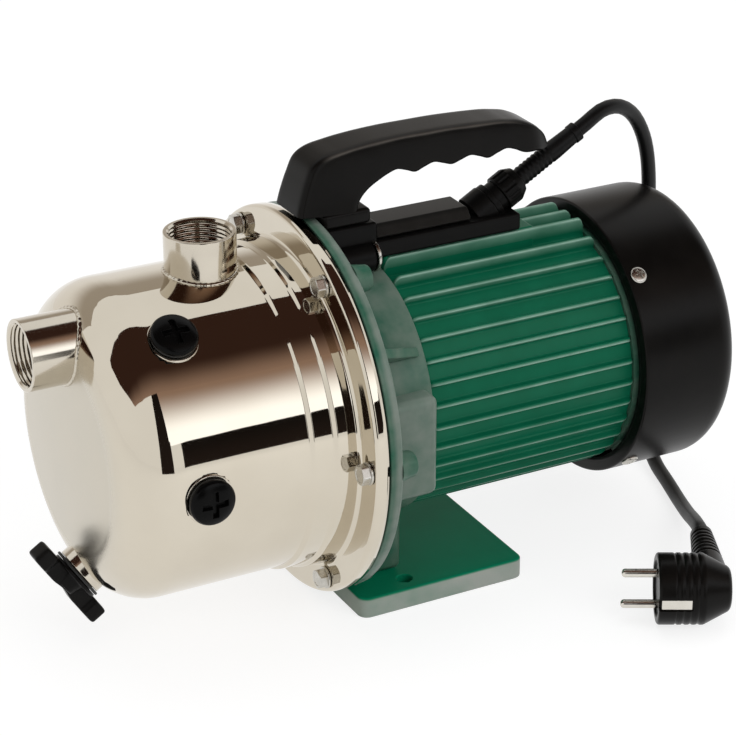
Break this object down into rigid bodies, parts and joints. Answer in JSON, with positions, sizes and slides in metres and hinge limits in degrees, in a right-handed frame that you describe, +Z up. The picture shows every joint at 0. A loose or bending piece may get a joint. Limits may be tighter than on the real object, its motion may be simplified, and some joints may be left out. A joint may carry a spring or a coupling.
{
  "type": "shallow well jet pump",
  "caption": "Shallow well jet pump: polished steel casing with threaded suction and discharge sockets, green finned motor on a foot plate, carrying handle, mains cord with plug.",
  "frame": {"origin": "middle of the foot plate's underside", "axes": "X along the shaft from the casing's front to the fan cover, Y away from the side with the screw plugs, Z up"},
  "size_m": [0.4183, 0.2676, 0.2553],
  "materials": {
    "polished_stainless": "mirror polished stainless steel",
    "bare_steel": "machined",
    "zinc_plated": "zinc plated",
    "green_enamel": "glossy enamel",
    "black_plastic": "satin",
    "grey_plastic": "satin",
    "black_rubber": "matt",
    "white_plastic": "matt",
    "brass": "machined",
    "copper_winding": "varnished copper wire",
    "nickel": "nickel plated"
  },
  "bodies": {
    "pump": {"pump_casing": "polished_stainless", "suction_port": "polished_stainless", "discharge_port": "polished_stainless", "drain_bush": "polished_stainless", "flange_bolt_1": "zinc_plated", "flange_bolt_2": "zinc_plated", "flange_bolt_3": "zinc_plated", "flange_bolt_4": "zinc_plated", "flange_bolt_5": "zinc_plated", "flange_bolt_6": "zinc_plated", "foot_screw_1": "zinc_plated", "foot_screw_2": "zinc_plated", "fan_cover_screw_1": "zinc_plated", "fan_cover_screw_2": "zinc_plated", "fan_cover_screw_3": "zinc_plated", "fan_cover_screw_4": "zinc_plated", "motor_bracket": "green_enamel", "foot_plate": "green_enamel", "stator_housing": "green_enamel", "rear_end_shield": "green_enamel", "fan_cover": "black_plastic", "terminal_box": "black_plastic", "terminal_box_lid": "grey_plastic", "capacitor": "white_plastic", "handle": "black_plastic", "gland_body": "black_plastic", "gland_nut": "black_plastic", "kink_guard": "black_rubber", "mains_cord": "black_rubber", "plug_body": "black_plastic", "plug_pin_1": "nickel", "plug_pin_2": "nickel", "plug_earth_clip_1": "nickel", "plug_earth_clip_2": "nickel", "diffuser": "grey_plastic", "ejector_body": "grey_plastic", "ejector_nozzle": "brass", "casing_gasket": "black_rubber", "seal_plate": "bare_steel", "seal_seat": "white_plastic", "front_bearing_outer": "bare_steel", "rear_bearing_outer": "bare_steel", "stator_core": "bare_steel", "winding_front": "copper_winding", "winding_rear": "copper_winding"},
    "rotor": {"shaft": "bare_steel", "rotor_core": "bare_steel", "front_bearing_inner": "bare_steel", "rear_bearing_inner": "bare_steel", "impeller": "brass", "impeller_nut": "brass", "seal_rotating": "black_rubber", "slinger": "black_rubber", "cooling_fan": "black_plastic"},
    "fill_seal": {"fill_plug_seal": "black_rubber"},
    "fill_screw": {"fill_plug": "black_plastic"},
    "gauge_seal": {"gauge_plug_seal": "black_rubber"},
    "gauge_screw": {"gauge_plug": "black_plastic"},
    "drain_seal": {"drain_gasket": "black_rubber"},
    "drain_screw": {"drain_plug": "black_plastic"}
  },
  "joints": [
    {"name": "rotor_spin", "type": "hinge", "parent": "pump", "child": "rotor", "pos_m": [0, 0, 0.112], "axis": [1, 0, 0], "continuous": true},
    {"name": "fill_plug_rise", "type": "slide", "parent": "pump", "child": "fill_seal", "axis": [0, -0.5446, 0.8387], "range_m": [0, 0.0091]},
    {"name": "fill_plug_turn", "type": "hinge", "parent": "fill_seal", "child": "fill_screw", "pos_m": [-0.1515, -0.04684, 0.18413], "axis": [0, -0.5446, 0.8387], "range_deg": [0, 1620]},
    {"name": "gauge_plug_rise", "type": "slide", "parent": "pump", "child": "gauge_seal", "axis": [0, -1, 0], "range_m": [0, 0.0091]},
    {"name": "gauge_plug_turn", "type": "hinge", "parent": "gauge_seal", "child": "gauge_screw", "pos_m": [-0.1515, -0.086, 0.112], "axis": [0, -1, 0], "range_deg": [0, 1620]},
    {"name": "drain_plug_rise", "type": "slide", "parent": "pump", "child": "drain_seal", "axis": [-0.8387, 0, -0.5446], "range_m": [0, 0.0081]},
    {"name": "drain_plug_turn", "type": "hinge", "parent": "drain_seal", "child": "drain_screw", "pos_m": [-0.18816, 0, 0.03966], "axis": [-0.8387, 0, -0.5446], "range_deg": [0, 1440]}
  ],
  "couplings": [
    {"joint": "fill_plug_rise", "follows": "fill_plug_turn", "m_per_rad": 0.00031831},
    {"joint": "gauge_plug_rise", "follows": "gauge_plug_turn", "m_per_rad": 0.00031831},
    {"joint": "drain_plug_rise", "follows": "drain_plug_turn", "m_per_rad": 0.00031831}
  ]
}
